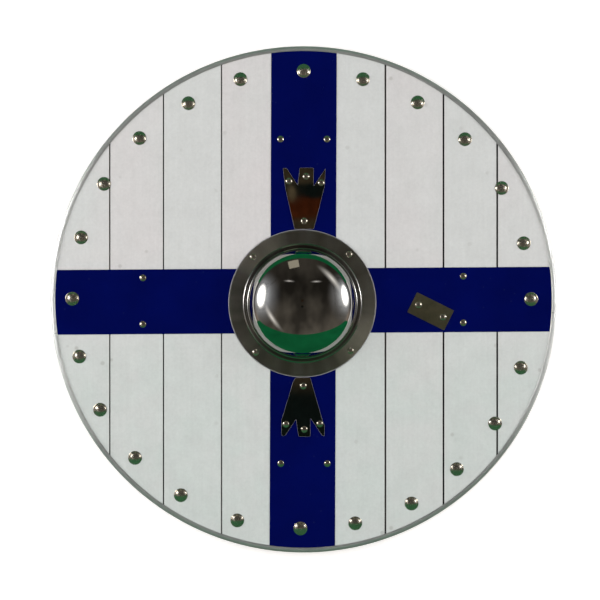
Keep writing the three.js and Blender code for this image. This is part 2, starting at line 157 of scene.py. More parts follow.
class ShieldColours(bpy.types.PropertyGroup):
    board_paint: colour("Board paint", "Off-white paint of the boards", 0.560, 0.572, 0.564)
    warm_paint: colour("Warm paint", "Where the paint is a little warmer", 0.584, 0.560, 0.560)
    # Painted green bounce light: the lower boards' paint, cooler and greener
    painted_green_bounce: colour("Cool paint", "Paint of the lower boards", 0.522, 0.566, 0.545)
    strip_paint: colour("Strip paint", "Navy paint of the cross", 0.0002, 0.0020, 0.061)
    # Painted shade: the near black on the joints' walls and ledges
    joint: colour("Joint", "Dirt down in the joints", 0.002, 0.002, 0.0025)
    pale_wood: colour("Pale wood", "Pale wood between the growth lines", 0.46, 0.29, 0.15)
    dark_wood: colour("Dark wood", "Dark growth lines", 0.23, 0.12, 0.05)
    rim_metal: colour("Rim metal", "Galvanised sheet of the rim", 0.40, 0.405, 0.40)
    dome_steel: colour("Dome steel", "Polished steel of the dome", 0.42, 0.41, 0.39)
    flange_steel: colour("Flange steel", "Spun steel of the flange", 0.39, 0.372, 0.332)
    fork_steel: colour("Fork steel", "Polished steel of the fork plates", 0.58, 0.57, 0.55)
    patch_steel: colour("Patch steel", "Dull steel of the patch plate", 0.24, 0.212, 0.14)
    cut_edge: colour("Cut edge", "Bright cut edges of the plates", 0.36, 0.35, 0.37)
    rivet_metal: colour("Rivet metal", "Plated heads of the rivets", 0.44, 0.40, 0.33)
    floor: colour("Floor", "Pale floor", 0.95, 0.95, 0.95)
    room: colour("Room", "Dim room that the metal mirrors", 0.063, 0.056, 0.046)
    carpet: colour("Carpet", "Beige floor of the room, as the metal mirrors it", 0.36, 0.29, 0.24)
    cloth: colour("Cloth", "Green beside the shield, as the metal mirrors it", 0.010, 0.185, 0.064)
    ceiling: colour("Ceiling", "Red-brown overhead, as the plates mirror it", 0.050, 0.012, 0.004)
    timber: colour("Timber", "Timber overhead, as the plates mirror it", 0.042, 0.032, 0.018)
    shade: colour("Shade", "Darkest parts overhead", 0.005, 0.008, 0.007)


class ShieldStage(bpy.types.PropertyGroup):
    camera_height: size("Camera height", "Height of the camera above the floor", 2600)
    camera_x: size("Camera sideways", "Left or right of the shield's middle", 0)
    view_width: size("View width", "Width that the view takes in at the shield's face", 722.2)
    floor_size: size("Floor size", "Width of the floor", 14000)
    overhead_power: FloatProperty(
        name="Overhead light", description="Light from above", default=94, unit="POWER"
    )
    side_power: FloatProperty(
        name="Side lights", description="Light from each side", default=11, unit="POWER"
    )
    softbox_glow: glow("Softbox glow", "How bright metal sees the lamps", 40)
    glare_glow: glow("Glare glow", "How bright metal sees the glare close round a lamp", 1.8)
    halo_glow: glow("Halo glow", "How bright metal sees the haze farther round a lamp", 1.1)
    arc_glow: glow("Arc glow", "How bright metal sees the long strips", 1.7)
    bulb_glow: glow("Bulb glow", "How bright metal sees the bulbs", 1.3)
    window_glow: glow("Window glow", "How bright metal sees the window", 0.66)
    floor_glow: glow("Floor glow", "The floor's own light, as of a lit table", 0.3)
    pale_room: glow("Pale room", "How bright it is behind the floor", 0.85)


# Node trees


def put(tree, kind, sockets=None, **settings):
    """Adds a node, with its settings and with a value or a link for each named input."""
    node = tree.nodes.new(kind)
    for setting, value in settings.items():
        setattr(node, setting, value)
    for socket, value in (sockets or {}).items():
        if isinstance(value, bpy.types.NodeSocket):
            tree.links.new(value, node.inputs[socket])
        else:
            node.inputs[socket].default_value = value
    return node


def link(tree, output, node, socket):
    tree.links.new(output, node.inputs[socket])


def calculate(tree, operation, first, second=0.0):
    return put(tree, "ShaderNodeMath", {0: first, 1: second}, operation=operation).outputs[0]


def times(tree, first, second):
    return calculate(tree, "MULTIPLY", first, second)


def plus(tree, first, second):
    return calculate(tree, "ADD", first, second)


def remap(tree, value, low, high, to_low=0.0, to_high=1.0):
    """The value moved from the range between low and high to another range, and kept in it."""
    sockets = {
        "Value": value,
        "From Min": low,
        "From Max": high,
        "To Min": to_low,
        "To Max": to_high,
    }
    return put(tree, "ShaderNodeMapRange", sockets).outputs["Result"]


def blend_colours(tree, factor, first, second, blend_type="MIX"):
    sockets = {"Factor": factor, 6: first, 7: second}
    mix = put(tree, "ShaderNodeMix", sockets, data_type="RGBA", blend_type=blend_type)
    return mix.outputs[2]


def tinted(tree, rgb, tone):
    """A colour multiplied by a value that changes over the surface."""
    return blend_colours(tree, 1.0, rgb, tone, "MULTIPLY")


def noise(tree, vector, scale, detail=3.0, roughness=0.5):
    sockets = {"Vector": vector, "Scale": scale, "Detail": detail, "Roughness": roughness}
    return put(tree, "ShaderNodeTexNoise", sockets).outputs["Fac"]


def along_axis(tree, vector, axis):
    return put(tree, "ShaderNodeSeparateXYZ", {"Vector": vector}).outputs[axis]


def stretched(tree, vector, stretch, turn=0.0):
    """The vector turned about Z and multiplied along each axis."""
    sockets = {"Vector": vector, "Rotation": (0, 0, turn), "Scale": stretch}
    return put(tree, "ShaderNodeMapping", sockets).outputs["Vector"]


def fading(tree, vector, gradient):
    """A value that falls from 1 in the middle to 0 at a distance of 1."""
    sockets = {"Vector": vector}
    return put(tree, "ShaderNodeTexGradient", sockets, gradient_type=gradient).outputs["Fac"]


def bump(tree, height, distance):
    sockets = {"Height": height, "Distance": distance, "Strength": 1.0}
    return put(tree, "ShaderNodeBump", sockets).outputs["Normal"]


def opaque(rgb):
    return (*rgb, 1.0)


VECTOR = "NodeSocketVector"
NUMBER = "NodeSocketFloat"
COLOUR = "NodeSocketColor"


def new_group(name, inputs, outputs):
    """A shader node group. Returns the group's tree and its input and output sockets."""
    tree = bpy.data.node_groups.new(name, "ShaderNodeTree")
    for socket, kind in inputs:
        tree.interface.new_socket(socket, in_out="INPUT", socket_type=kind)
    for socket, kind in outputs:
        tree.interface.new_socket(socket, in_out="OUTPUT", socket_type=kind)
    entry = tree.nodes.new("NodeGroupInput")
    leave = tree.nodes.new("NodeGroupOutput")
    return tree, entry.outputs, leave.inputs


def use_group(tree, name, sockets):
    return put(tree, "ShaderNodeGroup", sockets, node_tree=bpy.data.node_groups[name]).outputs


def make_mottle_group():
    """Slow cloudy change between two values."""
    inputs = [("Vector", VECTOR), ("Scale", NUMBER), ("Low", NUMBER), ("High", NUMBER)]
    tree, given, result = new_group("Soft Mottle", inputs, [("Value", NUMBER)])
    clouds = noise(tree, given["Vector"], given["Scale"], 4.0, 0.55)
    value = remap(tree, clouds, 0.3, 0.7, given["Low"], given["High"])
    tree.links.new(value, result["Value"])


def soft_mottle(tree, place, scale, low, high):
    sockets = {"Vector": place, "Scale": scale, "Low": low, "High": high}
    return use_group(tree, "Soft Mottle", sockets)["Value"]


BRUSH_STRETCH = (1.0, 0.03, 1.0)
BROAD_STROKES = 0.6  # share of the broad strokes, and the fine ones take the rest
FINE_STROKES = 0.4
FINE_TO_BROAD = 4.0


def make_brush_group():
    """Fine strokes that run along Y, as a brush leaves them."""
    inputs = [("Vector", VECTOR), ("Scale", NUMBER)]
    tree, given, result = new_group("Brush Strokes", inputs, [("Value", NUMBER)])
    along = stretched(tree, given["Vector"], BRUSH_STRETCH)
    broad = noise(tree, along, given["Scale"], 2.0)
    fine = noise(tree, along, times(tree, given["Scale"], FINE_TO_BROAD), 3.0)
    both = plus(tree, times(tree, broad, BROAD_STROKES), times(tree, fine, FINE_STROKES))
    tree.links.new(both, result["Value"])


def brush_strokes(tree, place, scale):
    return use_group(tree, "Brush Strokes", {"Vector": place, "Scale": scale})["Value"]


SPECK_EDGE = (0.16, 0.30)  # where a speck begins to fade and where it ends, as shares of a cell


def make_speck_group():
    """Small scattered specks, in a share of the cells."""
    inputs = [("Vector", VECTOR), ("Scale", NUMBER), ("Share", NUMBER)]
    tree, given, result = new_group("Specks", inputs, [("Mask", NUMBER)])
    sockets = {"Vector": given["Vector"], "Scale": given["Scale"]}
    cells = put(tree, "ShaderNodeTexVoronoi", sockets)
    dots = remap(tree, cells.outputs["Distance"], *SPECK_EDGE, 1.0, 0.0)
    tone = put(tree, "ShaderNodeSeparateColor", {"Color": cells.outputs["Color"]}).outputs["Red"]
    chosen = calculate(tree, "LESS_THAN", tone, given["Share"])
    tree.links.new(times(tree, dots, chosen), result["Mask"])


def specks(tree, place, scale, share):
    sockets = {"Vector": place, "Scale": scale, "Share": share}
    return use_group(tree, "Specks", sockets)["Mask"]


GROWTH_STRETCH = (1.0, 0.07, 1.0)
GROWTH_LINES = {"Scale": 34.0, "Distortion": 9.0, "Detail": 3.0, "Detail Scale": 0.8}
GROWTH_DEPTH = 0.55
PORE_STRETCH = (1.0, 0.02, 1.0)
PORE_SCALE = 900.0
PORE_DEPTH = 0.5


def make_wood_group():
    """Growth lines and pores of a sawn board whose grain runs along Y."""
    inputs = [("Vector", VECTOR), ("Pale", COLOUR), ("Dark", COLOUR)]
    outputs = [("Colour", COLOUR), ("Height", NUMBER)]
    tree, given, result = new_group("Wood Grain", inputs, outputs)
    along = stretched(tree, given["Vector"], GROWTH_STRETCH)
    bands = {"wave_type": "BANDS", "bands_direction": "X"}
    wave = put(tree, "ShaderNodeTexWave", {"Vector": along, **GROWTH_LINES}, **bands)
    pores = noise(tree, stretched(tree, given["Vector"], PORE_STRETCH), PORE_SCALE, 3.0)
    lines = times(tree, wave.outputs["Fac"], GROWTH_DEPTH)
    depth = plus(tree, lines, times(tree, pores, PORE_DEPTH))
    grain = blend_colours(tree, depth, given["Pale"], given["Dark"])
    tree.links.new(grain, result["Colour"])
    tree.links.new(pores, result["Height"])


SCRATCH_TURNS = (0.5, -0.9, 2.1)
SCRATCH_STRETCH = (1.0, 0.02, 1.0)
SCRATCH_FINENESS = 14.0  # times the scale of the smudges
SCRATCH_EDGE = (0.66, 0.74)  # the higher, the fewer scratches


def make_handling_group():
    """Smudges and fine scratches on bare metal."""
    inputs = [("Vector", VECTOR), ("Scale", NUMBER)]
    outputs = [("Smudge", NUMBER), ("Scratch", NUMBER)]
    tree, given, result = new_group("Metal Handling", inputs, outputs)
    clouds = noise(tree, given["Vector"], given["Scale"], 5.0, 0.6)
    tree.links.new(remap(tree, clouds, 0.35, 0.7), result["Smudge"])
    scale = times(tree, given["Scale"], SCRATCH_FINENESS)
    total = 0.0
    for turn in SCRATCH_TURNS:
        along = stretched(tree, given["Vector"], SCRATCH_STRETCH, turn)
        lines = remap(tree, noise(tree, along, scale, 2.0), *SCRATCH_EDGE)
        total = calculate(tree, "MAXIMUM", total, lines)
    tree.links.new(total, result["Scratch"])


def make_groups():
    make_mottle_group()
    make_brush_group()
    make_speck_group()
    make_wood_group()
    make_handling_group()


# Materials


def begin_nodes(name):
    """A material with no nodes but its place. Returns it, its tree and the place on the piece."""
    material = bpy.data.materials.new(name)
    material.use_nodes = True
    tree = material.node_tree
    tree.nodes.clear()
    return material, tree, put(tree, "ShaderNodeTexCoord").outputs["Object"]


def begin_material(name, sockets):
    """A material with one shader, its even values set. Returns it, its tree, shader and place."""
    material, tree, place = begin_nodes(name)
    shader = put(tree, "ShaderNodeBsdfPrincipled", sockets)
    put(tree, "ShaderNodeOutputMaterial", {"Surface": shader.outputs["BSDF"]})
    return material, tree, shader, place


SHADER = "Principled BSDF"  # the name that Blender gives it
PAINTED_BOUNCE_BOARDS = (0.02, -0.10)  # up the face, where the painted green bounce light begins and where it is whole
SPECK_RGB = (0.25, 0.24, 0.22)
CRUMB_RGB = (0.02, 0.018, 0.015)
DUST_RGB = (0.3, 0.3, 0.34)


def board_paint(colours):
    """Matt off-white paint, a little warmer or cooler from board to board, with faint marks, and
    painted green bounce light on the lower boards.
    """
    even = {"Metallic": 0.0, "Specular IOR Level": 0.3}
    material, tree, shader, place = begin_material("off_white_paint", even)
    tone = put(tree, "ShaderNodeAttribute", attribute_name="board_tone").outputs["Fac"]
    patches = noise(tree, place, 9.0, 3.0)
    warmth = remap(tree, plus(tree, patches, tone), 0.75, 1.35)
    base = blend_colours(tree, warmth, opaque(colours.board_paint), opaque(colours.warm_paint))
    strokes = brush_strokes(tree, place, 260.0)
    # Painted green bounce light: the lower boards turn cooler and greener
    lower = remap(tree, along_axis(tree, place, "Y"), *PAINTED_BOUNCE_BOARDS)
    patchy = remap(tree, noise(tree, place, 24.0, 3.0), 0.35, 0.65, 0.55, 1.0)
    with_painted_bounce = blend_colours(tree, times(tree, lower, patchy), base, opaque(colours.painted_green_bounce))
    streaks = remap(tree, strokes, 0.3, 0.7, 0.972, 1.014)
    clouds = soft_mottle(tree, place, 55.0, 0.96, 1.02)
    tooth = remap(tree, noise(tree, place, 330.0, 3.0, 0.6), 0.3, 0.7, 0.965, 1.035)
    lit = tinted(tree, with_painted_bounce, times(tree, times(tree, streaks, clouds), tooth))
    faintness = remap(tree, patches, 0.4, 0.65, 0.08, 0.4)
    marks = times(tree, specks(tree, place, 95.0, 0.03), faintness)
    link(tree, blend_colours(tree, marks, lit, opaque(SPECK_RGB)), shader, "Base Color")
    link(tree, soft_mottle(tree, place, 60.0, 0.5, 0.66), shader, "Roughness")
    link(tree, bump(tree, strokes, 0.06 * MM), shader, "Normal")
    return material


def joint_wall(colours):
    """Painted shade down in the joints: near-black walls and ledges, with a few paler crumbs."""
    material, tree, shader, place = begin_material("joint_painted_shade", {"Metallic": 0.0})
    crumbs = noise(tree, place, 420.0, 4.0)
    shown = remap(tree, crumbs, 0.55, 0.8)
    base = blend_colours(tree, shown, opaque(colours.joint), opaque(CRUMB_RGB))
    link(tree, base, shader, "Base Color")
    link(tree, remap(tree, crumbs, 0.3, 0.7, 0.8, 0.95), shader, "Roughness")
    return material


def strip_paint(colours):
    """Smooth navy with a trace of dust."""
    even = {"Metallic": 0.0, "Specular IOR Level": 0.005}
    material, tree, shader, place = begin_material("navy_gloss", even)
    base = tinted(tree, opaque(colours.strip_paint), soft_mottle(tree, place, 16.0, 0.88, 1.14))
    dust = times(tree, specks(tree, place, 240.0, 0.02), 0.02)
    link(tree, blend_colours(tree, dust, base, opaque(DUST_RGB)), shader, "Base Color")
    link(tree, soft_mottle(tree, place, 34.0, 0.2, 0.32), shader, "Roughness")
    link(tree, bump(tree, brush_strokes(tree, place, 180.0), 0.02 * MM), shader, "Normal")
    return material


def bare_wood(name, colours, turn, shade):
    """Oiled wood with its grain along Y, or along X with a quarter turn."""
    material, tree, shader, place = begin_material(name, {"Metallic": 0.0})
    along = stretched(tree, place, (1.0, 1.0, 1.0), turn)
    pale = opaque([shade * value for value in colours.pale_wood])
    dark = opaque([shade * value for value in colours.dark_wood])
    grain = use_group(tree, "Wood Grain", {"Vector": along, "Pale": pale, "Dark": dark})
    base = tinted(tree, grain["Colour"], soft_mottle(tree, place, 14.0, 0.85, 1.12))
    link(tree, base, shader, "Base Color")
    link(tree, remap(tree, grain["Height"], 0.3, 0.7, 0.55, 0.75), shader, "Roughness")
    link(tree, bump(tree, grain["Height"], 0.15 * MM), shader, "Normal")
    return material


SMUDGE_SHADE = 0.82
SCRATCH_SHINE = 1.25
SCRATCH_ROUGHNESS = 0.12


def metal(name, rgb, rough, unevenness, scale, scratches, metallic=1.0, anisotropic=0.0):
    """Bare metal: handled, a little uneven, its roughness between two values."""
    even = {"Metallic": metallic, "Anisotropic": anisotropic}
    material, tree, shader, place = begin_material(name, even)
    marks = use_group(tree, "Metal Handling", {"Vector": place, "Scale": scale})
    smudge = marks["Smudge"]
    scratch = times(tree, marks["Scratch"], scratches)
    darker = opaque([SMUDGE_SHADE * value for value in rgb])
    lighter = opaque([min(1.0, SCRATCH_SHINE * value) for value in rgb])
    base = blend_colours(tree, smudge, opaque(rgb), darker)
    link(tree, blend_colours(tree, scratch, base, lighter), shader, "Base Color")
    handled = remap(tree, smudge, 0.0, 1.0, *rough)
    roughness = plus(tree, handled, times(tree, scratch, SCRATCH_ROUGHNESS))
    link(tree, roughness, shader, "Roughness")
    link(tree, bump(tree, noise(tree, place, scale, 1.0), unevenness), shader, "Normal")
    return material


def tint_metal(material, tone):
    """Multiplies a metal's own colour by a value that changes over the surface."""
    tree = material.node_tree
    shader = tree.nodes[SHADER]
    own = shader.inputs["Base Color"].links[0].from_socket
    link(tree, tinted(tree, own, tone), shader, "Base Color")


def direction(tilt, turn):
    """A unit vector tilted from straight up, towards a direction turned from +X, in degrees."""
    across = math.sin(math.radians(tilt))
    turn = math.radians(turn)
    upwards = math.cos(math.radians(tilt))
    return Vector((across * math.cos(turn), across * math.sin(turn), upwards))


# Painted highlights and painted shade in fans on the spun flange: turned from +X in degrees, and
# how much brighter
PAINTED_FLANGE_SHEEN = [(-34, 1.5), (128, 0.75), (-5, 0.2), (180, -0.24)]
SHEEN_FAN_EDGE = 0.90  # cosine of a fan's half angle
FLANGE_TONES = (0.66, 0.98)  # between the fans of painted sheen


def flange_metal(colours):
    """Spun satin steel, its fine grooves running round the boss, with painted highlights and shade
    in fans.
    """
    material = metal(
        "spun_flange", colours.flange_steel, (0.34, 0.46), 0.03 * MM, 30.0, 0.25, anisotropic=0.2
    )
    tree = material.node_tree
    shader = tree.nodes[SHADER]
    shader.inputs["Anisotropic Rotation"].default_value = 0.25
    around = put(tree, "ShaderNodeTangent", direction_type="RADIAL", axis="Z")
    link(tree, around.outputs["Tangent"], shader, "Tangent")
    place = put(tree, "ShaderNodeTexCoord").outputs["Object"]
    sockets = {"Vector": place, "Location": -BOSS_CENTRE, "Scale": (1, 1, 0)}
    outwards = put(tree, "ShaderNodeMapping", sockets).outputs["Vector"]
    spoke = put(tree, "ShaderNodeVectorMath", {0: outwards}, operation="NORMALIZE").outputs[0]
    tone = remap(tree, noise(tree, spoke, 3.0, 2.0), 0.35, 0.65, *FLANGE_TONES)
    # Painted sheen: the base colour is brighter or darker in fans at set directions
    for turn, gain in PAINTED_FLANGE_SHEEN:
        sockets = {0: spoke, 1: direction(90, turn)}
        near = put(tree, "ShaderNodeVectorMath", sockets, operation="DOT_PRODUCT").outputs["Value"]
        tone = plus(tree, tone, remap(tree, near, SHEEN_FAN_EDGE, 1.0, 0.0, gain))
    tint_metal(material, tone)
    return material


PAINTED_RIM_HIGHLIGHT = (0.80 * SHIELD_RADIUS, 0.97 * SHIELD_RADIUS)  # where the painted highlight runs, left or right of the middle
PAINTED_RIM_HIGHLIGHT_GAIN = 2.2


def zinc_rim(colours):
    """Galvanised sheet, with a painted highlight along both sides of the shield."""
    material = metal(
        "rim_sheet", colours.rim_metal, (0.40, 0.50), 0.05 * MM, 40.0, 0.3, metallic=0.75
    )
    tree = material.node_tree
    place = put(tree, "ShaderNodeTexCoord").outputs["Object"]
    across = calculate(tree, "ABSOLUTE", along_axis(tree, place, "X"))
    # Painted highlight: the sheet is paler towards the left and right
    tint_metal(material, remap(tree, across, *PAINTED_RIM_HIGHLIGHT, 1.0, PAINTED_RIM_HIGHLIGHT_GAIN))
    return material


def make_materials():
    """Every finish of the shield, by the name that the operators use."""
    make_groups()
    colours = bpy.context.scene.round_shield_colours
    rivet = colours.rivet_metal
    board_paint(colours)
    joint_wall(colours)
    strip_paint(colours)
    bare_wood("board_wood", colours, 0.0, 1.1)
    bare_wood("batten_wood", colours, 0.0, 0.85)
    bare_wood("grip_wood", colours, math.pi / 2, 0.8)
    zinc_rim(colours)
    flange_metal(colours)
    metal("polished_dome", colours.dome_steel, (0.03, 0.07), 0.12 * MM, 22.0, 0.1)
    metal("polished_fork", colours.fork_steel, (0.012, 0.04), 0.012 * MM, 30.0, 0.2)
    metal("dull_patch", colours.patch_steel, (0.42, 0.6), 0.05 * MM, 90.0, 0.35)
    metal("cut_edge", colours.cut_edge, (0.35, 0.5), 0.03 * MM, 200.0, 0.2, metallic=0.3)
    metal("plated_rivet", rivet, (0.21, 0.29), 0.03 * MM, 120.0, 0.15, metallic=0.94)
    metal("bright_rivet", rivet, (0.13, 0.19), 0.02 * MM, 160.0, 0.15, metallic=0.94)


def finish_named(name):
    """A finish by name. The first call makes them all."""
    if name not in bpy.data.materials:
        make_materials()
    return bpy.data.materials[name]


# Shapes


def finish_piece(name, shape, finishes, node=None, weighted=False):
    """Makes a bmesh a piece that rides with the shield, and hides its CAD node."""
    many_sided = [face for face in shape.faces if len(face.verts) > MOST_SIDES]
    bmesh.ops.triangulate(shape, faces=many_sided)
    mesh = bpy.data.meshes.new(name)
    shape.to_mesh(mesh)
    shape.free()
    for finish in finishes:
        mesh.materials.append(finish_named(finish))
    mesh.shade_smooth()
    mesh.set_sharp_from_angle(angle=SHARP_ANGLE)
    piece = bpy.data.objects.new(name, mesh)
    bpy.context.scene.collection.objects.link(piece)
    if weighted:
        steady = piece.modifiers.new("Steady Normals", "WEIGHTED_NORMAL")
        steady.keep_sharp = True
    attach(piece, "root")
    if node:
        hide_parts(node)
    return piece


def copied_shape(node):
    """A CAD node's own shape, its loose triangles merged into whole faces."""
    shape = bmesh.new()
    shape.from_mesh(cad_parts[node].data)
    bmesh.ops.remove_doubles(shape, verts=shape.verts, dist=WELD)
    bmesh.ops.dissolve_limit(
        shape,
        angle_limit=FLAT_ANGLE,
        use_dissolve_boundaries=False,
        verts=shape.verts,
        edges=shape.edges,
    )
    return shape


def round_edges(shape, edges, width, segments=2):
    bmesh.ops.bevel(
        shape,
        geom=edges,
        offset=width,
        offset_type="OFFSET",
        segments=segments,
        profile=0.5,
        affect="EDGES",
        material=-1,
        clamp_overlap=True,
    )


def edges_at(shape, height):
    """The edges that lie level at this height."""
    found = []
    for edge in shape.edges:
        if all(abs(vert.co.z - height) < WELD for vert in edge.verts):
            found.append(edge)
    return found


def long_top_edges(shape, height, shortest):
    """The outer edges of the top at this height that are at least so long."""
    found = []
    for edge in edges_at(shape, height):
        if edge.calc_length() < shortest or len(edge.link_faces) != 2:
            continue
        if any(abs(face.normal.z) < 0.5 for face in edge.link_faces):
            found.append(edge)
    return found


def spun(profile, centre, steps):
    """A turned piece from points of (radius, height) that run from the axis back to the axis."""
    shape = bmesh.new()
    verts = [shape.verts.new(centre + Vector((radius, 0, height))) for radius, height in profile]
    edges = [shape.edges.new(pair) for pair in zip(verts, verts[1:])]
    bmesh.ops.spin(
        shape, geom=verts + edges, cent=centre, axis=UP, angle=math.tau, steps=steps, use_merge=True
    )
    bmesh.ops.remove_doubles(shape, verts=shape.verts, dist=WELD)
    bmesh.ops.recalc_face_normals(shape, faces=shape.faces)
    return shape


def clockwise(radius, angle, height):
    """A point at an angle clockwise from the top of the face."""
    return Vector((radius * math.sin(angle), radius * math.cos(angle), height))


def spun_length(profile, start, end, steps):
    """A length of ring between two angles clockwise from the top, with both ends closed."""
    shape = bmesh.new()
    verts = [shape.verts.new(clockwise(radius, start, height)) for radius, height in profile]
    edges = [shape.edges.new(pair) for pair in zip(verts, verts[1:] + verts[:1])]
    bmesh.ops.spin(
        shape, geom=verts + edges, cent=(0, 0, 0), axis=-UP, angle=end - start, steps=steps
    )
    bmesh.ops.remove_doubles(shape, verts=shape.verts, dist=WELD)
    bmesh.ops.holes_fill(shape, edges=[edge for edge in shape.edges if edge.is_boundary])
    bmesh.ops.recalc_face_normals(shape, faces=shape.faces)
    return shape


def arc(centre_radius, centre_height, across, down, start, end, steps):
    """Points of an ellipse's arc, its angles measured from straight up towards the outside."""
    points = []
    for i in range(steps + 1):
        angle = start + (end - start) * i / steps
        radius = centre_radius + across * math.sin(angle)
        points.append((radius, centre_height + down * math.cos(angle)))
    return points


# Boards

BOARD_TONES = 7  # seed for the small difference in tone from board to board
SHORTEST_EDGE = 20 * MM  # shorter edges round a hole stay as they are
STRAIGHT = 0.999  # how nearly a direction lies along an axis


def is_down_a_joint(face, middle):
    """Whether a face is a joint's wall or ledge, and not the wall of the hand hole."""
    beside_hole = (middle - BOSS_CENTRE).xy.length < FLANGE_RADIUS
    wall_or_ledge = abs(face.normal.x) > STRAIGHT or face.normal.z > 0.9
    return BOARD_BACK + MM < middle.z and wall_or_ledge and not beside_hole


def dress_board(node, tone):
    """A board with its joint edges rounded, and paint on its face alone."""
    sizes = bpy.context.scene.round_shield_sizes
    shape = copied_shape(node)
    shape.normal_update()
    joint_edges = []
    for edge in long_top_edges(shape, BOARD_FACE, SHORTEST_EDGE):
        along = (edge.verts[1].co - edge.verts[0].co).normalized()
        if abs(along.y) > STRAIGHT:
            joint_edges.append(edge)
    round_edges(shape, joint_edges, sizes.board_edge)
    shape.normal_update()
    for face in shape.faces:
        middle = face.calc_center_median()
        if face.normal.z > 0.3 and middle.z > BOARD_FACE - MM:
            face.material_index = 0
        # Painted shade: a joint's walls and ledge take the near-black finish
        elif is_down_a_joint(face, middle):
            face.material_index = 1
        else:
            face.material_index = 2
    finishes = ["off_white_paint", "joint_painted_shade", "board_wood"]
    piece = finish_piece("painted_" + node, shape, finishes, node, weighted=True)
    attribute = piece.data.attributes.new("board_tone", "FLOAT", "FACE")
    attribute.data.foreach_set("value", [tone] * len(piece.data.polygons))
    return piece


class SHIELD_OT_boards(bpy.types.Operator):
    """Dress the painted boards"""

    bl_idname = "round_shield.boards"
    bl_label = "Painted Boards"

    def execute(self, context):
        tones = random.Random(BOARD_TONES)
        for node in nodes_named("plank_"):
            dress_board(node, tones.random())
        return {"FINISHED"}


# Blue strips of the cross


class SHIELD_OT_strips(bpy.types.Operator):
    """Dress the blue strips of the cross"""

    bl_idname = "round_shield.strips"
    bl_label = "Blue Strips"

    def execute(self, context):
        sizes = context.scene.round_shield_sizes
        for node in nodes_named("cross_strip_"):
            shape = copied_shape(node)
            shape.normal_update()
            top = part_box(node)[1].z
            round_edges(shape, long_top_edges(shape, top, SHORTEST_EDGE), sizes.strip_edge)
            name = node.replace("cross_strip", "blue_strip")
            finish_piece(name, shape, ["navy_gloss"], node, weighted=True)
        return {"FINISHED"}


# Grip bar and battens


class SHIELD_OT_back_wood(bpy.types.Operator):
    """Dress the grip bar and the two battens behind the boards"""

    bl_idname = "round_shield.back_wood"
    bl_label = "Grip Bar and Battens"

    def execute(self, context):
        sizes = context.scene.round_shield_sizes
        for node, finish in [
            ("grip_bar", "grip_wood"),
            ("batten_upper", "batten_wood"),
            ("batten_lower", "batten_wood"),
        ]:
            shape = copied_shape(node)
            shape.normal_update()
            lengthwise = [
                edge
                for edge in shape.edges
                if len(edge.link_faces) == 2
                and edge.calc_length() > 10 * MM
                and edge.calc_face_angle() > math.radians(30)
            ]
            round_edges(shape, lengthwise, sizes.wood_edge)
            finish_piece("oiled_" + node, shape, [finish], node, weighted=True)
        return {"FINISHED"}


# Rim

RIM_JOINTS = (math.radians(93.1), math.radians(262.2))  # clockwise from the top of the face
RIM_JOINT_GAP = 0.3 * MM
RIM_CROWN_SHARE = 0.8  # how far the crown reaches from the lip to the fold
RIM_CROWN_STEPS = 5
FOLD_STEPS = 8
INNER_FOLD_STEPS = 4


def rim_profile(sizes):
    """The folded sheet's section: over the outside, then back along the inside."""
    lip = SHIELD_RADIUS - sizes.rim_width
    fold = SHIELD_RADIUS - sizes.rim_fold_across
    crown_width = RIM_CROWN_SHARE * (fold - lip)
    face_leg = []
    for i in range(RIM_CROWN_STEPS + 1):
        rise = i / RIM_CROWN_STEPS
        face_leg.append((lip + crown_width * rise, -sizes.rim_crown * (1 - rise) ** 2))
    across, down = sizes.rim_fold_across, sizes.rim_fold_down
    face_leg += arc(fold, -down, across, down, 0, math.pi / 2, FOLD_STEPS)
    sheet = sizes.rim_sheet
    inside = [(lip, -sheet), (fold, -sheet)]
    across, drop = across - sheet, down - sheet
    inside += arc(fold, -down, across, drop, 0, math.pi / 2, INNER_FOLD_STEPS)[1:]
    upper = [(radius, RIM_HIGH + drop) for radius, drop in face_leg]
    lower = [(radius, RIM_LOW - drop) for radius, drop in reversed(face_leg)]
    lower_inside = [(radius, RIM_LOW - drop) for radius, drop in inside]
    upper_inside = [(radius, RIM_HIGH + drop) for radius, drop in reversed(inside)]
    return upper + lower + lower_inside + upper_inside


class SHIELD_OT_rim(bpy.types.Operator):
    """Fold the two lengths of the rim"""

    bl_idname = "round_shield.rim"
    bl_label = "Rim"

    def execute(self, context):
        sizes = context.scene.round_shield_sizes
        profile = rim_profile(sizes)
        trim = RIM_JOINT_GAP / 2 / SHIELD_RADIUS
        right, left = RIM_JOINTS
        for name, node, start, end in [
            ("folded_rim_upper", "rim_upper", left - math.tau, right),
            ("folded_rim_lower", "rim_lower", right, left),
        ]:
            steps = round(sizes.round_steps * (end - start) / math.tau)
            shape = spun_length(profile, start + trim, end - trim, steps)
            finish_piece(name, shape, ["rim_sheet"], node)
        return {"FINISHED"}


# Boss

CROWN_STEPS = 18
SHOULDER_STEPS = 12
FOOT_STEPS = 8
BEAD_STEPS = 12
EDGE_STEPS = 4
BOSS_FINISHES = ["polished_dome", "spun_flange", "cut_edge"]


